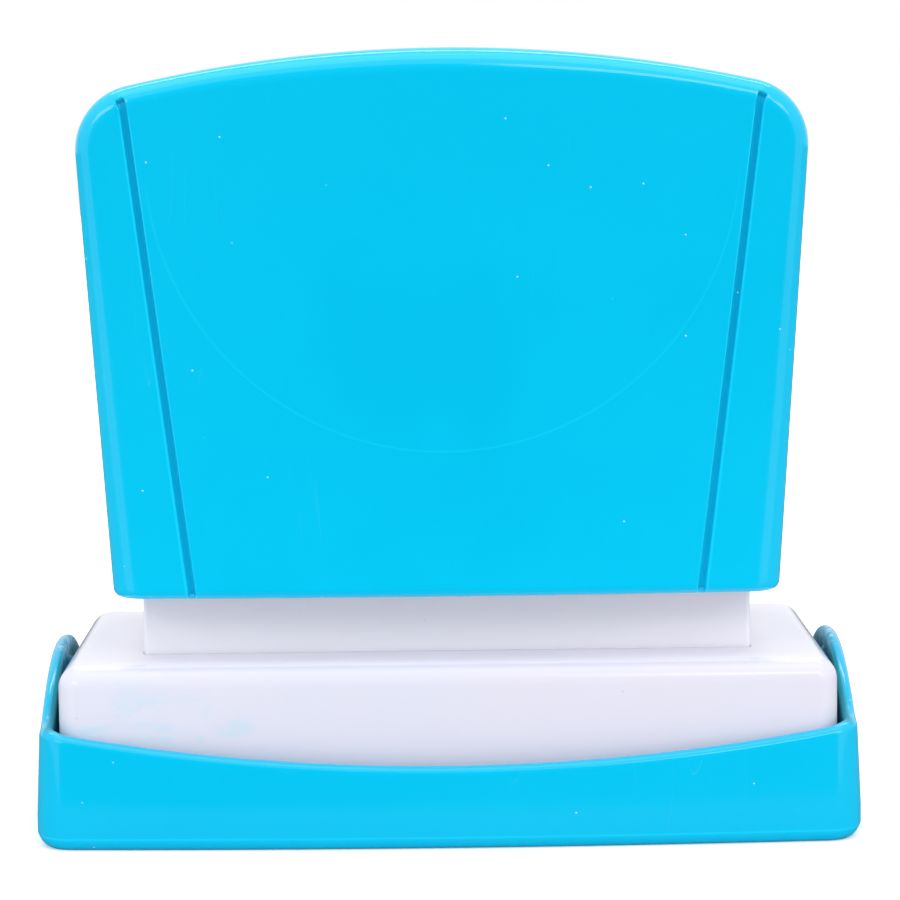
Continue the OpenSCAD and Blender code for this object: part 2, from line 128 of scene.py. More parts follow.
def meshPiece(name, vertices, quads):
    mesh = bpy.data.meshes.new(name)
    mesh.from_pydata(vertices.tolist(), [], quads.tolist())
    build = bmesh.new()
    build.from_mesh(mesh)
    bmesh.ops.remove_doubles(build, verts=build.verts, dist=1e-7)
    bmesh.ops.dissolve_degenerate(build, edges=build.edges, dist=1e-8)
    bmesh.ops.recalc_face_normals(build, faces=build.faces)
    build.to_mesh(mesh)
    build.free()
    mesh.polygons.foreach_set("use_smooth", np.ones(len(mesh.polygons), bool))
    piece = bpy.data.objects.new(name, mesh)
    bpy.context.scene.collection.objects.link(piece)
    return piece


def gridPiece(name, points, closeRows=False):
    # points[row, column] in millimetres, columns closed in a loop; rows end in a line or a point, or close too
    rows, columns = points.shape[:2]
    index = np.arange(rows * columns).reshape(rows, columns)
    nextColumn = np.roll(index, -1, axis=1)
    if closeRows:
        lower, upper = (index, nextColumn), (np.roll(index, -1, axis=0), np.roll(nextColumn, -1, axis=0))
    else:
        lower, upper = (index[:-1], nextColumn[:-1]), (index[1:], nextColumn[1:])
    quads = np.stack([lower[0], lower[1], upper[1], upper[0]], axis=-1).reshape(-1, 4)
    return meshPiece(name, points.reshape(-1, 3) * mm, quads)


def profilePiece(name, profile, centre=(0.0, 0.0, 0.0), closeRows=False):
    # profile is a list of quarter rings, each with its x, y and z; their mirror images complete the loops
    quarter = [np.concatenate([ringAxes[axis] for ringAxes in profile]) for axis in range(3)]
    return gridPiece(name, mirrored(quarter) + np.array(centre), closeRows)


def fourfold(name, patches):
    # each patch is a grid on one quarter of the piece; its mirror images join it where they meet
    vertices, quads, count = [], [], 0
    for patch in patches:
        rows, columns = patch.shape[:2]
        index = np.arange(rows * columns).reshape(rows, columns)
        cells = np.stack([index[:-1, :-1], index[:-1, 1:], index[1:, 1:], index[1:, :-1]], axis=-1).reshape(-1, 4)
        for signs in ((1, 1, 1), (-1, 1, 1), (1, -1, 1), (-1, -1, 1)):
            vertices.append((patch * np.array(signs)).reshape(-1, 3))
            quads.append(cells + count)
            count += rows * columns
    return meshPiece(name, np.concatenate(vertices) * mm, np.concatenate(quads))


def smoothStep(low, high, value):
    # 0 up to low, 1 from high on, and t * t * (3 - 2 * t) between, where t is the share of the way
    t = np.clip((value - low) / (high - low), 0, 1)
    return t * t * (3 - 2 * t)


def softMax(a, b, width):
    # the mean plus half the difference, whose size stays above width, so that the two cross in a soft bend
    return (a + b + np.sqrt((a - b) ** 2 + width**2)) / 2


# handle

handleValues = {
    "bow": 1.1,  # of the front and back
    "endBow": 0.15,
    "archR": 137.0,
    "shoulderR": 6.3,
    "flare": 2.7,  # each side widens by this from foot to shoulder
    "shoulderDrop": 8.9,  # where the flare ends, below the top
    "wall": 1.4,
    "topEdge": 2.35,  # rounding between roof and front, at the middle
    "cornerEdge": 2.0,  # the same beside the grooves
    "sideEdge": 2.0,  # rounding of the upright corners at the shoulder
    "lowerEdge": 3.2,  # and at the foot
    "leastEdge": 0.25,  # what is left of a rounding on the inside of the wall
    "footEdge": 0.9,
    "grooveWidth": 0.66,
    "grooveDepth": 0.62,
    "grooveLip": 0.1,  # share of its depth by which its edges are rounded over
    "grooveFootX": 24.5,
    "grooveTopX": 30.1,
    "grooveFade": (0.38, 0.46),  # the groove ends between these angles up the top's rounding
    "dishRadius": 28.2,
    "dishHeight": 42.3,  # of the dish's centre above the foot
    "dishDepth": 0.22,
    "dishGroove": (0.2, 1.5),  # the dish fades out this near the groove
    "dishTop": 14.0,  # and over this much below the top
}

# share of the face's height at which its rows lie, closer together near the foot and the top
faceRows = np.concatenate([[0, 0.004, 0.008, 0.012, 0.02], np.linspace(0.04, 0.96, 32),
                           [0.975, 0.985, 0.991, 0.993, 0.995, 0.997, 1.0]])


def handleOutline(v, offset):
    # The front outline is a leaning flank, a shoulder arc and the top's arch, joined tangentially: the shoulder's
    # centre lies its radius inside the flank and inside the arch, where repeated substitution finds it. Moved in
    # by an inset along its normal it stays such an outline.
    low, high = span("handle")
    top, foot, wide = high[2], low[2], high[0] - v["endBow"]
    lean = math.atan(v["flare"] / (top - v["shoulderDrop"] - foot))
    archZ = top - v["archR"]
    z = top - v["shoulderDrop"]
    for _ in range(30):
        x = wide - v["flare"] + math.tan(lean) * (z - foot) - v["shoulderR"] / math.cos(lean)
        z = archZ + math.sqrt((v["archR"] - v["shoulderR"]) ** 2 - x**2)
    flank = math.pi / 2 + lean
    start = foot + (v["footEdge"] if offset == 0 else 0.0)
    return {
        "wide": wide,
        "deep": high[1] - offset,
        "foot": foot,
        "start": start,  # height of the lowest row, above the rounded foot
        "startX": wide - v["flare"] + math.tan(lean) * (start - foot),
        "lean": lean,
        "archZ": archZ,
        "shoulderX": x,
        "shoulderZ": z,
        "join": math.atan2(x, z - archZ),  # angle of the normal, from upright, where arch meets shoulder
        "flank": flank,  # and where shoulder meets flank, at this point
        "flankTop": (x + v["shoulderR"] * math.sin(flank), z + v["shoulderR"] * math.cos(flank)),
        "lowerEdge": max(v["lowerEdge"] - offset, v["leastEdge"]),
    }


def topLine(theta, inset, v, line):
    # arch or shoulder, moved in: its centre plus (radius - inset) * (sin theta, cos theta)
    onArch = theta <= line["join"]
    radius = np.where(onArch, v["archR"], v["shoulderR"]) - inset
    x = np.where(onArch, 0, line["shoulderX"]) + radius * np.sin(theta)
    return x, np.where(onArch, line["archZ"], line["shoulderZ"]) + radius * np.cos(theta)


def faceDepth(x, v, line):
    # the bowed face in plan: an arc through the middle of the front that falls by the bow at the side
    bowR = (line["wide"] ** 2 + v["bow"] ** 2) / (2 * v["bow"])
    return line["deep"] - bowR + np.sqrt(bowR**2 - x**2)


def faceColumns(v, line, offset):
    # Columns run from the middle to the groove, over it and on to the flank. Each has its place on the foot and
    # its angle theta on the top, which follows from its length along the outline there.
    half = v["grooveWidth"] / 2
    margin = half + 0.5
    across = np.array([-margin, -half - 0.3, -half - 0.2, -half - 0.12, -half - 0.06, -half,
                       -half + 0.04, -0.14, 0.0])
    across = np.concatenate([across, -across[-2::-1]])
    middle = np.linspace(0, 1, 24)[:-1]
    side = np.linspace(0, 1, 24)[1:]
    # the groove has steep walls, and its edges are rounded over
    wall = 1 - smoothStep(half - 0.05, half + 0.05, np.abs(across))
    lip = v["grooveLip"] * np.clip((half + 0.25 - np.abs(across)) / 0.25, 0, 1) ** 2
    depth = v["grooveDepth"] if offset == 0 else 0.0
    cut = depth * np.concatenate([np.zeros(len(middle)), np.maximum(wall, lip), np.zeros(len(side))])

    archR, shoulderR = v["archR"] - v["cornerEdge"], v["shoulderR"] - v["cornerEdge"]
    join = line["join"]
    grooveAngle = math.asin(v["grooveTopX"] / archR)
    if grooveAngle > join:
        grooveAngle = math.asin((v["grooveTopX"] - line["shoulderX"]) / shoulderR)
    grooveRun = archR * min(grooveAngle, join) + shoulderR * max(grooveAngle - join, 0)
    joinRun = archR * join
    endRun = joinRun + shoulderR * (line["flank"] - join)
    run = np.concatenate([(grooveRun - margin) * middle, grooveRun + across,
                          grooveRun + margin + (endRun - grooveRun - margin) * side])
    theta = np.where(run < joinRun, run / archR, join + (run - joinRun) / shoulderR)

    lastX = line["startX"] - (offset + line["lowerEdge"]) / math.cos(line["lean"])
    footX = np.concatenate([(v["grooveFootX"] - margin) * middle, v["grooveFootX"] + across,
                            v["grooveFootX"] + margin + (lastX - v["grooveFootX"] - margin) * side])
    # the top's rounding changes from the middle to the grooves and again round the shoulder
    edge = v["topEdge"] + (v["cornerEdge"] - v["topEdge"]) * smoothStep(0.05, 0.2, theta)
    edge = edge + (v["sideEdge"] - v["cornerEdge"]) * smoothStep(join + 0.3, join + 1.0, theta)
    edge = np.maximum(edge - offset, v["leastEdge"])
    return {"footX": footX, "theta": theta, "edge": edge, "cut": cut, "groove": len(middle) + len(across) // 2}


def handleFace(v, line, columns, offset):
    # straight columns from the foot to the top; the bow, the thumb dish and the groove are taken off the depth
    t = faceRows[:, None]
    topX, topZ = topLine(columns["theta"], offset + columns["edge"], v, line)
    x = columns["footX"] + (topX - columns["footX"]) * t
    z = line["start"] + (topZ - line["start"]) * t
    y = faceDepth(x, v, line)
    if offset == 0:
        away = np.hypot(x, z - line["foot"] - v["dishHeight"]) / v["dishRadius"]
        grooveX = v["grooveFootX"] + (topX[columns["groove"]] - v["grooveFootX"]) * t
        between = smoothStep(*v["dishGroove"], grooveX - v["grooveWidth"] / 2 - x)
        between = between * smoothStep(0, v["dishTop"], topZ - z)
        y = y - v["dishDepth"] * np.clip(1 - away**2, 0, 1) * between
    # the rim is the lowest row without the groove
    return np.stack([x, y - columns["cut"], z], axis=-1), np.stack([x[0], y[0], z[0]], axis=-1)


def handleBand(v, line, columns, face, offset):
    # The band goes round the edge, up the flank and over the top. Its other direction is a quarter circle from
    # the face, and then straight over the depth, with a slight swell on the flank.
    t, lean = faceRows, line["lean"]
    theta, edge = columns["theta"][-2::-1], columns["edge"]
    normalX = np.concatenate([np.full(len(t), math.cos(lean)), np.sin(theta)])
    normalZ = np.concatenate([np.full(len(t), -math.sin(lean)), np.cos(theta)])
    topX, topZ = topLine(theta, 0, v, line)
    flankX, flankZ = line["flankTop"]
    outerX = np.concatenate([line["startX"] + (flankX - line["startX"]) * t, topX])
    outerZ = np.concatenate([line["start"] + (flankZ - line["start"]) * t, topZ])
    rounding = np.concatenate([line["lowerEdge"] + (edge[-1] - line["lowerEdge"]) * t, edge[-2::-1]])
    depth = faceDepth(outerX - (offset + rounding) * normalX, v, line)
    cut = np.concatenate([np.zeros(len(t)), columns["cut"][-2::-1]])  # the grooves fade out up the rounding

    turn = np.radians([0, 5, 10, 15, 20, 24, 28, 34, 42, 52, 62, 71, 80, 90])
    over = np.linspace(1, 0, 8)[1:]
    inset = [offset + rounding * (1 - math.sin(a)) for a in turn] + [offset + 0 * rounding] * len(over)
    y = [depth - rounding * (1 - math.cos(a)) - cut * (1 - smoothStep(*v["grooveFade"], a)) for a in turn]
    y += [(depth - rounding) * share for share in over]
    y = np.array(y)
    swell = v["endBow"] * np.clip(normalX, 0, 1) * np.clip(1 - (y / (depth - rounding)) ** 2, 0, 1)
    moved = np.array(inset) - swell
    x, z = outerX - moved * normalX, outerZ - moved * normalZ
    # on the flank each row runs straight from the foot's level to the shoulder arc, so its lower end stays level
    moved = moved[:, :len(t)]
    x[:, :len(t)] = (line["startX"] - moved / math.cos(lean)) * (1 - t) + (flankX - moved * math.cos(lean)) * t
    z[:, :len(t)] = line["start"] * (1 - t) + (flankZ + moved * math.sin(lean)) * t
    band = np.stack([x, y, z], axis=-1)
    band[0] = np.concatenate([face[:, -1], face[-1, -2::-1]])
    return band


def handleSkin(v, offset):
    # one quarter of the outside, or of the wall's inside, which lies offset further in
    line = handleOutline(v, offset)
    columns = faceColumns(v, line, offset)
    face, rim = handleFace(v, line, columns, offset)
    band = handleBand(v, line, columns, face, offset)
    # the lower edge, from the middle of the face round to the middle of the end, and the groove's cut in it
    rim = np.concatenate([rim, band[1:, 0]])
    return face, band, rim, np.concatenate([columns["cut"], np.zeros(len(band) - 1)])


def handleShell(v):
    face, band, rim, rimCut = handleSkin(v, 0)
    innerFace, innerBand, innerRim, _ = handleSkin(v, v["wall"])
    # foot: the lower edge turns in along its own normals by a quarter circle, then meets the inner wall
    along = np.gradient(rim[:, :2], axis=0)
    normal = np.stack([-along[:, 1], along[:, 0]], axis=-1)
    normal[0], normal[-1] = (0, 1), (1, 0)
    normal /= np.linalg.norm(normal, axis=1)[:, None]
    turn = np.radians([0, 12, 24, 34, 44, 58, 74, 90])[:, None, None]
    flat = rim[None, :, :2] - v["footEdge"] * (1 - np.cos(turn)) * normal[None]
    flat = flat - normal[None] * rimCut[None, :, None] * (1 - smoothStep(0.45, 0.75, turn))
    height = rim[None, :, 2:] - v["footEdge"] * np.sin(turn)
    foot = np.concatenate([flat, height], axis=-1)
    foot[0, :face.shape[1]] = face[0]
    foot = np.concatenate([foot, innerRim[None]])
    piece = fourfold("handleShell", [face, band, foot, innerFace, innerBand])
    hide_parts("handle")
    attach(piece, "handle")
    return piece


handle = handleShell(handleValues)
print("handle", len(handle.data.polygons))

# dust cap

capValues = {
    "bow": 1.1,
    "endBow": 0.3,
    "cornerR": 3.5,
    "draft": 0.045,  # how much the walls lean in per millimetre of height
    "draftFrom": 3.0,  # from this height up
    "wall": 1.3,
    "floor": 1.5,
    "floorR": 1.2,  # rounding between floor and wall, inside
    "bevel": 0.95,
    "endBevel": 1.35,  # it is larger along the ends
    "rimMiddle": 7.9,  # rim height at the middle of the front
    "rimRise": 3.7,  # climb from there to the corner
    "earFall": 11.6,  # drop of the ear's arch from its top to the long wall's line
    "earPower": 2.0,
    "rimBlend": 0.6,
    "rimRound": 0.8,
}


def capTray(v):
    # The profile runs from the underside's middle over the bevel, up the wall, over the lip, down inside and to
    # the floor's middle. The rim's height is a parabola along the long walls and a steeper one over the ends,
    # with a soft maximum where they cross.
    low, high = span("dust_cap")
    wide, deep, earTop = high
    plan = {"depth": deep, "corner": v["cornerR"], "bow": v["bow"], "endBow": v["endBow"]}
    quarter = planQuarter(wide, plan, (40, 16, 30))
    x, y, alpha = quarter
    front = v["rimMiddle"] + v["rimRise"] * (x / wide) ** 2
    ear = earTop - v["earFall"] * (y / deep) ** v["earPower"]
    rim = softMax(front, ear, v["rimBlend"])

    def wallRing(inset, z):
        return ring(quarter, inset + v["draft"] * np.clip(z - v["draftFrom"], 0, None), z)

    underside = shrunk((x, y, low[2] + 0 * x), (0.0, 0.35, 0.7))
    # the bevel is a quarter round from the floor that stops short of the wall, so a fine edge stays above it
    turn = np.radians([0, 14, 28, 42, 54, 64])
    bevelIn = np.concatenate([1 - np.sin(turn) / math.sin(turn[-1]), [0.0, 0.0]])
    bevelUp = np.concatenate([(1 - np.cos(turn)) / (1 - math.cos(turn[-1])), [1.1, 1.3]])
    bevel = v["bevel"] + (v["endBevel"] - v["bevel"]) * np.sin(alpha) ** 2
    foot = [wallRing(share * bevel, low[2] + rise * bevel) for share, rise in zip(bevelIn, bevelUp)]
    wallFoot = low[2] + bevelUp[-1] * bevel
    wallUp = [wallRing(0, wallFoot + (rim - v["rimRound"] - wallFoot) * t) for t in np.linspace(0, 1, 8)[1:-1]]
    # the lip is a quarter circle outside and a smaller one inside
    innerR = v["wall"] - v["rimRound"]
    lip = quarterRound(wallRing, v["rimRound"], rim, 8)
    lip += [wallRing(v["rimRound"] + innerR * np.sin(a), rim - innerR * (1 - np.cos(a)))
            for a in np.linspace(0, np.pi / 2, 5)[1:]]
    bendTop = v["floor"] + v["floorR"]
    inside = [wallRing(v["wall"], bendTop + (rim - innerR - bendTop) * t) for t in (0.8, 0.6, 0.4, 0.2)]
    inside += [wallRing(v["wall"] + v["floorR"] * (1 - np.cos(a)), v["floor"] + v["floorR"] * (1 - np.sin(a)))
               for a in np.linspace(0, np.pi / 2, 6)]
    floor = shrunk(inside[-1], (0.7, 0.35, 0.0))
    piece = profilePiece("capTray", underside + foot + wallUp + lip + inside + floor)
    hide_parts("dust_cap")
    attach(piece, "cap")
    return piece


nubValues = {
    "radius": 1.6,
    "tip": 0.8,
    "gap": 0.2,  # to the skirt's end
    "below": 3.2,  # the ear's top
    "sink": 0.4,  # into the wall
}
ledgeValues = {
    "height": 1.0,
    "inset": 11.0,  # of its ends, from the skirt's
    "corner": 0.3,
    "edge": 0.3,
    "sink": 0.3,  # into the floor
}


def capNub(side, v):
    # a dome turned round a level axis: its radius falls to the tip's along a quarter of an ellipse
    _, high = span("dust_cap")
    end = span("skirt")[1][0] + v["gap"]
    root = high[0] - capValues["wall"] + v["sink"]
    t = np.linspace(0, np.pi / 2, 12)[:, None]
    turn = np.linspace(0, 2 * np.pi, 32, endpoint=False)[None, :]
    along = root - (root - end) * np.sin(t)
    radius = v["tip"] + (v["radius"] - v["tip"]) * np.cos(t)
    radius = np.concatenate([0 * radius[:1], radius, radius[-1:] * 0.5, radius[-1:] * 0])
    along = np.concatenate([along[:1], along, along[-1:], along[-1:]])
    x = side * along + 0 * turn
    z = high[2] - v["below"] + radius * np.sin(turn)
    piece = gridPiece("capNubRight" if side > 0 else "capNubLeft", np.stack([x, radius * np.cos(turn), z], axis=-1))
    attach(piece, "cap")
    return piece


def capLedge(name, centre, half, v):
    # low bar with rounded upper edges: a quarter circle takes the outline in over the last of its height
    wall = partial(ring, boxQuarter(half[0], half[1], v["corner"], (6, 5, 4)))
    profile = shrunk(wall(0, capValues["floor"] - v["sink"]), (0.0, 1.0))
    profile += quarterRound(wall, v["edge"], capValues["floor"] + v["height"], 5)
    profile += shrunk(profile[-1], (0.0,))
    piece = profilePiece(name, profile, (centre[0], centre[1], 0.0))
    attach(piece, "cap")
    return piece


def capFittings():
    # a nub in each ear, and under the skirt's rim a ledge along each wall, from half the wall to the rim's inside
    wide, deep = span("skirt")[1][:2]
    capWide, capDeep = span("dust_cap")[1][:2]
    innerX, innerY = wide - skirtValues["wall"], deep - skirtValues["wall"]
    outerX, outerY = capWide - capValues["wall"] / 2, capDeep - capValues["bow"] - capValues["wall"] / 2
    endways = (wide - ledgeValues["inset"], (outerY - innerY) / 2)
    sideways = ((outerX - innerX) / 2, deep - ledgeValues["inset"])
    made = [capNub(side, nubValues) for side in (-1, 1)]
    for word, sign in (("Front", -1), ("Back", 1)):
        made.append(capLedge("capLedge" + word, (0, sign * (innerY + outerY) / 2), endways, ledgeValues))
    for word, sign in (("Left", -1), ("Right", 1)):
        made.append(capLedge("capLedge" + word, (sign * (innerX + outerX) / 2, 0), sideways, ledgeValues))
    return made


cap = capTray(capValues)
print("cap", len(cap.data.polygons))

# skirt and neck

skirtValues = {
    "cornerR": 2.4,
    "edge": 2.0,  # rounding between wall and deck
    "wall": 1.8,
    "deck": 1.8,
    "draft": 0.06,  # the wall leans in by this from rim to deck
    "rimEdge": 0.25,
    "innerEdge": 0.6,  # rounding under the deck
    "slotGap": 0.08,  # round the neck
    "slotEdge": 0.15,
}
neckValues = {
    "edge": 0.45,
    "wall": 1.5,
    "innerCorner": 0.3,
    "flange": 1.4,
    "seatDrop": 10.0,  # of the web that the springs stand on, below the top
    "web": 2.0,
    "topEdge": 0.25,
}
shellColumns = (24, 12, 14)  # over a long face, round a corner, along an end


def skirtShell(v):
    # a closed profile: down the slot, under the deck, down the wall's inside, over the rim, up the outside, round
    # the upper edge and over the deck; the wall leans in evenly from rim to deck
    low, high = span("skirt")
    rimZ, deckZ = low[2], high[2]
    quarter = boxQuarter(high[0], high[1], v["cornerR"], shellColumns)
    (neckX, neckY), _ = neckSizes()
    gap = v["slotGap"]
    slot = partial(ring, boxQuarter(neckX + gap, neckY + gap, neckValues["edge"] + gap, shellColumns))

    def wallRing(inset, z):
        return ring(quarter, inset + v["draft"] * (z - rimZ) / (deckZ - rimZ), z)

    under, bend = deckZ - v["deck"], v["innerEdge"]
    profile = [slot(0, deckZ - v["slotEdge"]), slot(0, under)]
    profile += [wallRing(v["wall"] + bend, under), wallRing(v["wall"] + 0.3 * bend, under - 0.3 * bend)]
    profile += [wallRing(v["wall"], under - bend)]
    profile += [wallRing(v["wall"], under + (rimZ + v["rimEdge"] - under) * t) for t in (0.5, 1.0)]
    profile += [wallRing(v["wall"] - v["rimEdge"], rimZ), wallRing(v["rimEdge"], rimZ)]
    profile += [wallRing(v["rimEdge"] * 0.3, rimZ + v["rimEdge"] * 0.3), wallRing(0, rimZ + v["rimEdge"])]
    profile += [wallRing(0, rimZ + (deckZ - v["edge"] - rimZ) * t) for t in (0.25, 0.5, 0.75)]
    profile += quarterRound(wallRing, v["edge"], deckZ, 10)
    edgeX, edgeY, _ = profile[-1]
    slotX, slotY, level = slot(0, deckZ)
    profile += [(edgeX + (slotX - edgeX) * t, edgeY + (slotY - edgeY) * t, level) for t in (0.25, 0.5, 0.75, 0.97)]
    profile += shrunk((slotX, slotY, level), (1.001,))
    piece = profilePiece("skirtShell", profile, closeRows=True)
    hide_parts("skirt")
    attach(piece, "skirt")
    return piece


def neckSizes():
    # half width and half depth of the neck above the deck, and of its flange, read from the sleeve's own points
    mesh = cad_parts["guide_sleeve"].data
    points = np.zeros(len(mesh.vertices) * 3)
    mesh.vertices.foreach_get("co", points)
    points = points.reshape(-1, 3) / mm
    above = points[points[:, 2] > span("skirt")[1][2] + 1]
    return above[:, :2].max(0), points[:, :2].max(0)


def neckSleeve(v):
    # the profile runs from the middle of the web's underside down the inside, out and up over the flange, up the
    # outside, round the top edge and down inside to the middle of the web
    low, high = span("guide_sleeve")
    foot, top = low[2], high[2]
    (width, depth), (flangeX, flangeY) = neckSizes()
    outer = partial(ring, boxQuarter(width, depth, v["edge"], shellColumns))
    flange = partial(ring, boxQuarter(flangeX, flangeY, v["edge"], shellColumns))
    inner = partial(ring, boxQuarter(width - v["wall"], depth - v["wall"], v["innerCorner"], shellColumns))
    seat, flangeTop = top - v["seatDrop"], foot + v["flange"]
    profile = shrunk(inner(0, seat - v["web"]), (0.0, 0.5, 1.0)) + [inner(0, foot)]
    profile += [flange(0, foot), flange(0, flangeTop), outer(0, flangeTop)]
    profile += [outer(0, flangeTop + (top - v["topEdge"] - flangeTop) * t) for t in (0.05, 0.2, 0.4, 0.6, 0.8)]
    profile += quarterRound(outer, v["topEdge"], top, 4)
    profile += [inner(0, top)] + shrunk(inner(0, seat), (1.0, 0.5, 0.0))
    piece = profilePiece("neckSleeve", profile)
    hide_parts("guide_sleeve")
    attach(piece, "skirt")
    return piece


fittings = capFittings()
skirt = skirtShell(skirtValues)
neck = neckSleeve(neckValues)
print("skirt and neck", len(skirt.data.polygons), len(neck.data.polygons))

# springs

springValues = {
    "turns": 7.0,
    "closedTurns": 1.0,  # at each end
    "wire": 0.9,
    "closedPitch": 0.94,  # of the wire's thickness
    "sides": 12,
    "stepsATurn": 36,
    "endRound": 0.02,  # the wire's ends are rounded over this part of a turn
    "stroke": 5.0,  # of the press, which shortens it
}


def woundSpring(node, v):
    # wire carried along a helix whose pitch is small in the first and last turn, so that the ends lie closed
    low, high = span(node)
    centre = (low + high) / 2
    coilR = (high[0] - low[0] - v["wire"]) / 2
    closed = v["closedTurns"]
    total = v["turns"] + 2 * closed
    t = np.linspace(0, total, int(total * v["stepsATurn"]))
    free = smoothStep(closed * 0.6, closed * 1.4, t)
    free = free * (1 - smoothStep(total - closed * 1.4, total - closed * 0.6, t))
    pitch = v["closedPitch"] * v["wire"] + 0 * t
    spare = (high[2] - low[2] - v["wire"]) - pitch.mean() * total
    pitch = pitch + free * spare / (free.mean() * total)
    height = np.concatenate([[0], np.cumsum((pitch[1:] + pitch[:-1]) / 2 * np.diff(t))])
    angle = 2 * np.pi * t
    side = np.linspace(0, 2 * np.pi, v["sides"], endpoint=False)[None, :]
    past = np.clip(np.abs(t - total / 2) - (total / 2 - v["endRound"]), 0, None)
    ends = np.sqrt(np.clip(1 - past**2 / v["endRound"] ** 2, 0, 1))
    radius = (v["wire"] / 2 * ends)[:, None]
    out = coilR + radius * np.cos(side)
    points = np.stack([centre[0] + out * np.cos(angle)[:, None], centre[1] + out * np.sin(angle)[:, None],
                       low[2] + v["wire"] / 2 + height[:, None] + radius * np.sin(side)], axis=-1)
    piece = gridPiece(node.replace("_s", "S") + "Wire", points)
    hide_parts(node)
    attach(piece, "skirt")
    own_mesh(piece)
    return piece


springs = [woundSpring(node, springValues) for node in ("left_spring", "right_spring")]
print("springs", [len(spring.data.polygons) for spring in springs])

# materials


class Shade:
    # a node's output that can be used in Python expressions; each operator adds one Math node
    def __init__(self, tree, output=None):
        self.tree = tree
        self.output = output

    def feed(self, socket, value):
        if isinstance(value, Shade):
            self.tree.links.new(value.output, socket)
        else:
            socket.default_value = value

    def node(self, kind, settings=None, inputs=None, take=0):
        # adds any node: settings are its properties, inputs go in by name or number, take names the output
        made = self.tree.nodes.new(kind)
        for key, value in (settings or {}).items():
            setattr(made, key, value)
        for key, value in (inputs or {}).items():
            self.feed(made.inputs[key], value)
        return Shade(self.tree, made.outputs[take])

    def maths(self, operation, *others, clamp=False):
        settings = {"operation": operation, "use_clamp": clamp}
        return self.node("ShaderNodeMath", settings, dict(enumerate((self, *others))))

    def __add__(self, other):
        return self.maths("ADD", other)

    __radd__ = __add__

    def __mul__(self, other):
        return self.maths("MULTIPLY", other)

    __rmul__ = __mul__

    def __sub__(self, other):
        return self.maths("SUBTRACT", other)

    def __rsub__(self, other):
        return self.node("ShaderNodeMath", {"operation": "SUBTRACT"}, {0: other, 1: self})

    def __pow__(self, other):
        return self.maths("POWER", other)

    def step(self, low, high):
        # smooth rise from 0 at low to 1 at high
        ranged = {"Value": self, "From Min": low, "From Max": high}
        return self.node("ShaderNodeMapRange", {"interpolation_type": "SMOOTHSTEP"}, ranged)

    def fall(self, low, high):
        return 1 - self.step(low, high)

    def near(self, core, reach):
        # 1 where the value is 0, falling off on both sides from core to reach
        return self.maths("ABSOLUTE").fall(core, reach)

    def blend(self, first, second):
        # first colour where the value is 0, second where it is 1
        return self.node("ShaderNodeMix", {"data_type": "RGBA"}, {0: self, 6: first, 7: second}, take=2)

    def grey(self):
        return self.node("ShaderNodeCombineColor", None, {0: self, 1: self, 2: self})

    def rays(self, *kinds):
        return [self.node("ShaderNodeLightPath", None, None, take=kind) for kind in kinds]

    # from here on the value is a place

    def axes(self):
        split = self.node("ShaderNodeSeparateXYZ", None, {"Vector": self}).output.node
        return [Shade(self.tree, output) for output in split.outputs]

    def millimetres(self):
        return [axis * 1000.0 for axis in self.axes()]

    def vector(self, operation, *others, take=0):
        return self.node("ShaderNodeVectorMath", {"operation": operation}, dict(enumerate((self, *others))), take)

    def mapped(self, turn=(0, 0, 0), scale=(1, 1, 1)):
        return self.node("ShaderNodeMapping", None, {"Vector": self, "Rotation": turn, "Scale": scale})

    def noise(self, scale, detail=2.0, rough=0.5, distortion=0.0):
        inputs = {"Vector": self, "Scale": scale, "Detail": detail, "Roughness": rough, "Distortion": distortion}
        return self.node("ShaderNodeTexNoise", None, inputs)

    def flecks(self, scale, size, share):
        # round specks: near a cell's centre, and only in that share of the cells
        settings = {"feature": "F1"}
        inputs = {"Vector": self, "Scale": scale, "Randomness": 0.9}
        distance = self.node("ShaderNodeTexVoronoi", settings, inputs)
        cell = self.node("ShaderNodeTexVoronoi", settings, inputs, take="Color")
        chosen = self.node("ShaderNodeSeparateColor", None, {"Color": cell})
        return distance.maths("LESS_THAN", size) * chosen.maths("LESS_THAN", share)

    def scratches(self, turn, scale, thin):
        # short thin lines: a stretched noise crosses its middle value, and another noise breaks the lines up
        lines = self.mapped(turn, (14.0, 1.0, 1.0)).noise(scale, 1.0) - 0.5
        return lines.near(0.0, thin) * self.noise(scale * 2.3, 1.0).step(0.6, 0.72)


def rgb(red, green, blue):
    # sRGB 0-255 to linear
    value = np.array([red, green, blue]) / 255
    linear = np.where(value <= 0.04045, value / 12.92, ((value + 0.055) / 1.055) ** 2.4)
    return (*linear.tolist(), 1.0)


def darkened(colour, share):
    return (*[share * part for part in colour[:3]], 1.0)


def material(name):
    made = bpy.data.materials.new(name)
    made.use_nodes = True
    tree = made.node_tree
    surface = tree.nodes["Principled BSDF"]
    place = Shade(tree).node("ShaderNodeTexCoord", None, None, take="Object")
    return made, surface, place


def dress(surface, colour, rough, height, strength):
    # colour is mixed by nodes, so it knows the tree; height, in metres, becomes a bump
    bump = colour.node("ShaderNodeBump", None, {"Strength": strength, "Distance": 1.0, "Height": height})
    for socket, value in (("Base Color", colour), ("Normal", bump), ("Roughness", rough)):
        colour.feed(surface.inputs[socket], value)


def paint(piece, made):
    piece.data.materials.clear()
    piece.data.materials.append(made)


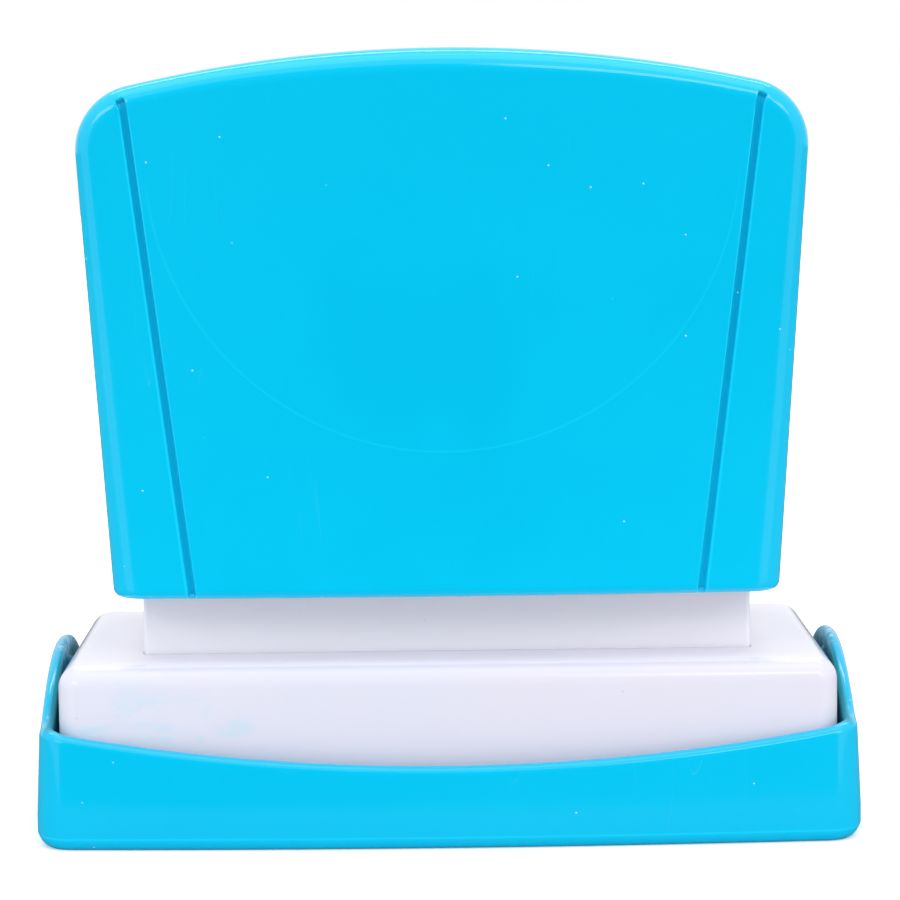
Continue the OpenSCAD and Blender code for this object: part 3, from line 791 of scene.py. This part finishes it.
colouredValues = {
    "colour": rgb(0, 193, 236),
    "lighter": rgb(0, 206, 244),
    # painted highlight, for fine pale lines on the handle's face and on the cap's edge
    "bright": rgb(20, 216, 252),
    "darker": rgb(0, 178, 220),
    "fleck": rgb(190, 236, 250),
    "scuff": rgb(196, 228, 236),
    # painted shade, for the inner faces of the ears
    "deep": rgb(0, 122, 124),
    "roughness": 0.1,
    "clouds": 28.0,  # noise scales, in waves a metre: soft clouds, then the grain in them
    "grain": 420.0,
    "specks": (1000.0, 0.085, 0.035),  # cells a metre, size in a cell, share of the cells
    "hairs": (((0.3, 0.5, 0.9), 22.0, 0.003), ((1.1, 0.2, 2.2), 26.0, 0.003)),  # turn, scale, thinness
    "bump": 0.35,
}


def colouredPlastic(name, v, extra):
    # a clouded blue with dust specks, a few hairlines and an almost smooth skin; extra adds the piece's own marks
    made, surface, place = material(name)
    cloud = place.noise(v["clouds"], 3.0)
    tint = (cloud - 0.5) * 0.5 + (place.noise(v["grain"], 2.0) - 0.5) * 0.12
    colour = tint.maths("ADD", 0.12, clamp=True).blend(v["colour"], v["lighter"])
    colour = ((0.5 - cloud).step(0.06, 0.25) * 0.25).blend(colour, v["darker"])
    first, second = [place.scratches(*hair) for hair in v["hairs"]]
    marks = (place.flecks(*v["specks"]) * 0.8).maths("ADD", (first + second) * 0.05, clamp=True)
    rough = v["roughness"] + (cloud - 0.5) * 0.08 + marks * 0.3
    height = place.noise(900.0, 2.0) * 0.00001 + place.noise(60.0, 1.0) * 0.00004 + marks * 0.00002
    colour, rough, height = extra(place, colour, rough, height, v)
    dress(surface, marks.blend(colour, v["fleck"]), rough, height, v["bump"])
    return made


faceHighlightValues = {  # millimetres; a pair is from where to where a mask rises or falls
    "face": (2.0, 3.0),  # how far in from the front
    "ringTop": (36.0, 42.0),  # height above the foot
    "ringLine": (0.02, 0.16),  # from the line's middle
    "ringHighlightShow": 0.3,
    "grooveTop": 5.5,  # below the top
    "lipFrom": 0.12,  # from the groove's edge to the line beside it
    "lipTop": (5.0, 7.0),  # below the top
    "lipLine": (0.02, 0.14),
    "lipHighlightShow": 0.6,
}


def faceHighlights(place, colour, rough, height, v):
    # painted highlights: fine pale lines where the flat face turns into the thumb dish, which is a circle,
    # and beside the grooves
    (_, _, foot), (_, deep, top) = span("handle")
    form, at = handleValues, faceHighlightValues
    x, y, z = place.millimetres()
    face = (deep - y.maths("ABSOLUTE")).fall(*at["face"])
    rise = z - (foot + form["dishHeight"])
    away = (x * x + rise * rise) ** 0.5 - form["dishRadius"]
    dishHighlightRing = face * away.near(*at["ringLine"]) * (z - foot).fall(*at["ringTop"])
    lean = (form["grooveTopX"] - form["grooveFootX"]) / (top - foot - at["grooveTop"])
    groove = x.maths("ABSOLUTE") - form["grooveFootX"] - (z - foot) * lean
    beside = groove.maths("ABSOLUTE") - (form["grooveWidth"] / 2 + at["lipFrom"])
    lipHighlights = face * beside.near(*at["lipLine"]) * (top - z).step(*at["lipTop"])
    # painted highlights on the dish's rim and beside the grooves
    lines = dishHighlightRing * at["ringHighlightShow"] + lipHighlights * at["lipHighlightShow"]
    return lines.blend(colour, v["bright"]), rough, height + dishHighlightRing * 0.00003


capWearAndPaintedLightValues = {  # millimetres; a pair is from where to where a mask rises or falls
    "wall": (1.6, 2.4),  # the end wall stops this far under its outer skin
    "corner": (2.4, 3.4),  # and begins this far from the front
    "inside": (0.7, 1.2),
    "paintedShadeFoot": (9.0, 12.5),  # height of the painted shade inside the ears
    "paintedShadeTop": (15.0, 20.5),
    "paintedShadeShow": 0.75,
    "edgeRise": 1.25,  # height of the fine painted highlight line, times the bevel
    "highlightLine": (0.03, 0.12),
    "edgeUnder": (0.3, 0.6),
    "highlightShow": 0.45,
    "wornDown": (1.6, 3.6),  # below the ear's top
    "wornSide": (2.0, 6.0),  # to each side of the nub
    "wornUnder": (0.3, 0.7),
    "wornShow": 0.8,
}


def capWearAndPaintedLight(place, colour, rough, height, v):
    # matt inner faces of the ears with painted shade on them, frosted wear round the nubs where the skirt rubs
    # past,
    # and a painted highlight: a fine pale line on the edge above the bevel
    _, (wide, deep, top) = span("dust_cap")
    form, at = capValues, capWearAndPaintedLightValues
    x, y, z = place.millimetres()
    # how far under the outer skin of the drafted end walls
    under = (wide + form["draftFrom"] * form["draft"]) - x.maths("ABSOLUTE") - z * form["draft"]
    endWall = under.fall(*at["wall"]) * (deep - y.maths("ABSOLUTE")).step(*at["corner"])
    inside = endWall * under.step(*at["inside"])
    # painted shade: the ears' inner faces are darkened in a band of height
    shade = inside * z.step(*at["paintedShadeFoot"]) * z.fall(*at["paintedShadeTop"])
    colour = (shade * at["paintedShadeShow"]).blend(colour, v["deep"])
    # painted highlight: a fine pale line above the bevel
    line = (z - at["edgeRise"] * form["bevel"]).near(*at["highlightLine"]) * under.step(*at["edgeUnder"])
    colour = (line * at["highlightShow"]).blend(colour, v["bright"])
    patches = place.noise(620.0, 4.0, 0.7, 0.8).step(0.47, 0.58)
    upper = (top - z).fall(*at["wornDown"]) * y.near(*at["wornSide"])
    worn = upper * endWall * under.step(*at["wornUnder"]) * patches
    colour = (worn * at["wornShow"]).blend(colour, v["scuff"])
    return colour, rough + inside * 0.3 + worn * 0.4, height + worn * patches * 0.00005


paint(handle, colouredPlastic("handlePaintedHighlightGlossPlastic", colouredValues, faceHighlights))
# the cap's copy of the blue plastic, painted darker as shade, to make up for the brighter light on its front
capPaintedShadeColours = dict(colouredValues, colour=rgb(0, 185, 227), lighter=rgb(0, 197, 235))
capPlastic = colouredPlastic("capPaintedLightGlossPlastic", capPaintedShadeColours, capWearAndPaintedLight)
for piece in (cap, *fittings):
    paint(piece, capPlastic)

whiteValues = {
    "colour": rgb(218, 219, 233),
    "warmer": rgb(222, 218, 231),
    # painted light: the paler colour of the deck's top
    "clean": rgb(245, 240, 252),
    "smear": rgb(176, 220, 234),
    "dust": rgb(150, 160, 185),
    "roughness": 0.1,
    "clouds": 35.0,
    "specks": (900.0, 0.07, 0.02),
    "wipes": (210.0, 5.0, 0.7, 1.2),  # the smears' noise: scale, detail, roughness and distortion
    "bump": 0.3,
}
# the neck's copy of the white plastic, painted lighter to make up for the shade under the handle
sleevePaintedLightValues = dict(whiteValues, colour=rgb(242, 242, 249), warmer=rgb(245, 241, 248))


def whitePlastic(name, v, extra=None):
    # a faintly clouded white with dust specks; extra adds the piece's own marks
    made, surface, place = material(name)
    cloud = place.noise(v["clouds"], 2.0)
    colour = cloud.step(0.3, 0.7).blend(v["colour"], v["warmer"])
    if extra:
        colour = extra(place, colour, v)
    colour = (place.flecks(*v["specks"]) * 0.5).blend(colour, v["dust"])
    height = place.noise(900.0, 2.0) * 0.00001 + cloud * 0.00005
    dress(surface, colour, v["roughness"] + cloud * 0.06, height, v["bump"])
    return made


skirtSmearAndPaintedLightValues = {  # millimetres
    "deck": (0.02, 0.22),  # the painted light that makes the deck paler fades out this far below it
    "smearX": -27.5,  # centre of the smears, on the front
    "smearZ": 9.5,
    "smearReach": (15.0, 12.0, 8.5),
    "smearShow": 0.4,
}


def skirtSmearsAndPaintedLight(place, colour, v):
    # the deck is painted paler, as painted light from above, and on the left of the front some ink was wiped off
    (_, front, _), (_, _, deck) = span("skirt")
    at = skirtSmearAndPaintedLightValues
    # painted light: the deck's top is paler
    colour = (deck - place.millimetres()[2]).fall(*at["deck"]).blend(colour, v["clean"])
    centre = (at["smearX"] * mm, front * mm, at["smearZ"] * mm)
    reach = [part * mm for part in at["smearReach"]]
    away = place.vector("SUBTRACT", centre).vector("DIVIDE", reach).vector("LENGTH", take="Value")
    wipe = place.mapped((0, 0.5, 0), (0.6, 1, 1.5)).noise(*v["wipes"]).step(0.47, 0.68)
    return (wipe * away.fall(0.45, 1.0) * at["smearShow"]).blend(colour, v["smear"])


paint(skirt, whitePlastic("skirtPaintedLightWhitePlastic", whiteValues, skirtSmearsAndPaintedLight))
paint(neck, whitePlastic("sleevePaintedLightWhitePlastic", sleevePaintedLightValues))

innerValues = {"colour": rgb(205, 208, 216), "shade": 0.9, "roughness": 0.45, "bump": 0.5}


def innerPlastic(name, v):
    # fine spark-eroded texture of an inner moulding
    made, surface, place = material(name)
    colour = place.noise(50.0, 2.0).step(0.3, 0.7).blend(v["colour"], darkened(v["colour"], v["shade"]))
    grain = place.noise(1500.0, 3.0)
    dress(surface, colour, v["roughness"] + grain * 0.1, grain * 0.00003, v["bump"])
    return made


steelValues = {"colour": rgb(196, 199, 204), "shade": 0.72, "roughness": 0.24, "bump": 0.3}


def bareSteel(name, v, drawn):
    # drawn is how far the fine lines along the metal are stretched, per axis
    made, surface, place = material(name)
    lines = place.mapped(scale=drawn).noise(900.0, 3.0)
    stain = place.noise(180.0, 2.0).step(0.35, 0.75) * 0.6
    colour = stain.blend(v["colour"], darkened(v["colour"], v["shade"]))
    dress(surface, colour, v["roughness"] + lines * 0.16, lines * 0.00002, v["bump"])
    surface.inputs["Metallic"].default_value = 1.0
    return made


feltValues = {"colour": rgb(58, 60, 70), "thread": rgb(92, 95, 108), "roughness": 0.95, "bump": 0.8}


def inkFelt(name, v):
    # tangled fibres: two stretched noises crossing
    made, surface, place = material(name)
    along = place.mapped(scale=(5.0, 1.0, 1.0)).noise(700.0, 3.0)
    over = place.mapped((0.4, 0.3, 1.2), (1.0, 5.0, 1.0)).noise(760.0, 3.0)
    fibres = (along - 0.5) + (over - 0.5)
    colour = fibres.step(-0.1, 0.3).blend(v["colour"], v["thread"])
    dress(surface, colour, v["roughness"], fibres * 0.00012, v["bump"])
    return made


dieValues = {
    "colour": rgb(196, 200, 206),
    "inked": rgb(40, 44, 66),
    "inkedRise": (0.08, 0.4),  # millimetres above the raised rows over which the ink ends
    "roughness": 0.75,
    "cells": 3000.0,
    "bump": 0.5,
}


def dieFoam(name, v):
    # fine closed cells; the raised rows stay wet with ink, the flashed ground between them stays pale
    made, surface, place = material(name)
    (_, _, raised), _ = span("stamp_die")
    wet = (place.millimetres()[2] - raised).fall(*v["inkedRise"])
    colour = (wet * (0.75 + place.noise(260.0, 3.0) * 0.25)).blend(v["colour"], v["inked"])
    cells = place.node("ShaderNodeTexVoronoi", {"feature": "F1"}, {"Vector": place, "Scale": v["cells"]})
    dress(surface, colour, v["roughness"] - wet * 0.35, cells * 0.00005, v["bump"])
    return made


inner = innerPlastic("innerMatteMoulding", innerValues)
for node in ("handle_core", "die_carrier", "die_frame"):
    paint(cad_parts[node], inner)
paint(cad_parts["core_screws"], bareSteel("screwSteel", steelValues, (1.0, 1.0, 6.0)))
for spring in springs:
    paint(spring, bareSteel(spring.name + "Steel", steelValues, (1.0, 1.0, 5.0)))
paint(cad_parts["ink_reservoir"], inkFelt("inkFelt", feltValues))
paint(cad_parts["stamp_die"], dieFoam("dieFoam", dieValues))
print("materials", len(bpy.data.materials))

# floor and light

studioValues = {
    "skyAround": 0.46,  # soft light from everywhere
    "skySides": 0.85,  # added to it by two low lights at the front's sides
    "sideHeight": 0.06,  # sine of their height
    "sideSpread": (0.25, 0.55),  # full within the first of that height, gone at the second
    "skyTop": 0.66,  # and from above, mostly from above the front
    "room": 0.02,  # brightness of the dark room in front, as reflections see it
    "roomEdge": (-0.79, -0.73),  # between these directions along y the tent begins
    "sides": 0.58,  # brightness of the tent's sides
    "roof": 0.75,
    "backdrop": 0.9,
    "softboxes": [  # place, aim, size across and up in metres, watts
        ((-0.62, -0.72, 0.52), (0.0, 0.0, 0.03), (0.5, 0.2), 0.95),
        ((0.30, -0.72, 0.66), (0.0, 0.0, 0.03), (0.5, 0.2), 0.95),
        ((0.66, -0.72, 0.50), (0.0, 0.0, 0.03), (0.3, 0.2), 0.6),
        ((0.0, 0.35, 0.72), (0.0, 0.0, 0.05), (0.9, 0.08), 1.3),
        ((0.0, -0.10, 0.85), (0.0, 0.0, 0.04), (0.9, 0.5), 1.25),
    ],
}
floorValues = {
    "side": 1.5,
    "front": 0.05,  # it ends here, soon after the object, so that the upright faces don't mirror it
    "colour": 0.88,
    "glossy": 0.15,  # share of its brightness that reflections on the object show
    "lift": 0.3,  # brings the floor that the camera sees up to white
    "farLift": 0.5,  # more of it further out
    "roughness": 0.9,
    "specular": 0.1,
}


def studioWorld(v):
    # white all round where it is seen, and for reflections a tent that is open to a dark room in front
    world = bpy.data.worlds.new("studioWorld")
    world.use_nodes = True
    background = world.node_tree.nodes["Background"]
    background.inputs["Color"].default_value = (1.0, 1.0, 1.0, 1.0)
    start = Shade(world.node_tree)
    camera, glossy, through = start.rays("Is Camera Ray", "Is Glossy Ray", "Is Transmission Ray")
    x, y, z = start.node("ShaderNodeTexCoord", None, None, take="Generated").axes()
    tent = v["sides"] + z.step(0.1, 0.6) * (v["roof"] - v["sides"])
    tent = tent + y.step(0.3, 0.7) * (v["backdrop"] - tent)
    mirroredRoom = v["room"] + y.step(*v["roomEdge"]) * (tent - v["room"])
    ahead = 0 - y
    low = x.maths("ABSOLUTE").step(0.1, 0.7) * ahead.step(-0.5, 0.1) * (z - v["sideHeight"]).near(*v["sideSpread"])
    above = z.step(0.1, 0.7) * (ahead.step(-0.6, 0.5) * 0.65 + 0.35)
    soft = v["skyAround"] + low * v["skySides"] + above * v["skyTop"]
    seen = camera.maths("ADD", through, clamp=True)
    strength = seen + (1 - seen) * (glossy * mirroredRoom + (1 - glossy) * soft)
    start.feed(background.inputs["Strength"], strength)
    bpy.context.scene.world = world


def studioFloor(v):
    side, near = v["side"], v["front"]
    corners = np.array([(-side, -near, 0), (side, -near, 0), (side, side, 0), (-side, side, 0)])
    floor = meshPiece("floor", corners, np.array([[0, 1, 2, 3]]))
    made, surface, place = material("paleFloor")
    camera, glossy = place.rays("Is Camera Ray", "Is Glossy Ray")
    tone = place.noise(3.0, 2.0) * 0.01 + v["colour"]
    tone = tone * (1 - glossy * (1 - v["glossy"]))
    away = place.vector("LENGTH", take="Value")
    lift = camera * (v["lift"] + away.step(0.06, 0.4) * v["farLift"])
    place.feed(surface.inputs["Base Color"], tone.grey())
    place.feed(surface.inputs["Emission Color"], lift.grey())
    surface.inputs["Emission Strength"].default_value = 1.0
    surface.inputs["Roughness"].default_value = v["roughness"]
    surface.inputs["Specular IOR Level"].default_value = v["specular"]
    paint(floor, made)


def studioLamps(v):
    for number, (spot, aim, size, watts) in enumerate(v["softboxes"]):
        lamp = bpy.data.lights.new(f"softbox{number}", "AREA")
        lamp.shape = "RECTANGLE"
        lamp.size, lamp.size_y = size
        lamp.energy = watts
        box = bpy.data.objects.new(lamp.name, lamp)
        box.location = spot
        box.rotation_euler = (Vector(aim) - Vector(spot)).to_track_quat("-Z", "Y").to_euler()
        bpy.context.scene.collection.objects.link(box)


studioWorld(studioValues)
studioFloor(floorValues)
studioLamps(studioValues)
print("studio", len(bpy.data.lights))

# camera

cameraValues = {
    "place": (-0.00169, -0.318967, 0.072472),
    "yaw": 0.007,
    "pitch": 0.114,
    "roll": -0.011,
    "lens": 128.0,
}


def photographer(v):
    # camera axes from yaw and pitch, then turned about the line of sight by the roll
    yaw, pitch, roll = v["yaw"], v["pitch"], v["roll"]
    forward = Vector((math.sin(yaw) * math.cos(pitch), math.cos(yaw) * math.cos(pitch), -math.sin(pitch)))
    right = Vector((math.cos(yaw), -math.sin(yaw), 0))
    up = right.cross(forward)
    rolledRight = math.cos(roll) * right + math.sin(roll) * up
    rolledUp = math.cos(roll) * up - math.sin(roll) * right
    lens = bpy.data.cameras.new("studioCamera")
    lens.lens = v["lens"]
    lens.sensor_width = 36.0
    lens.clip_start = 0.01
    camera = bpy.data.objects.new("studioCamera", lens)
    turn = Matrix((rolledRight, rolledUp, -forward)).transposed().to_4x4()
    camera.matrix_world = Matrix.Translation(Vector(v["place"])) @ turn
    bpy.context.scene.collection.objects.link(camera)
    bpy.context.scene.camera = camera


photographer(cameraValues)
bpy.context.scene.view_settings.view_transform = "Standard"

print("stage ready")
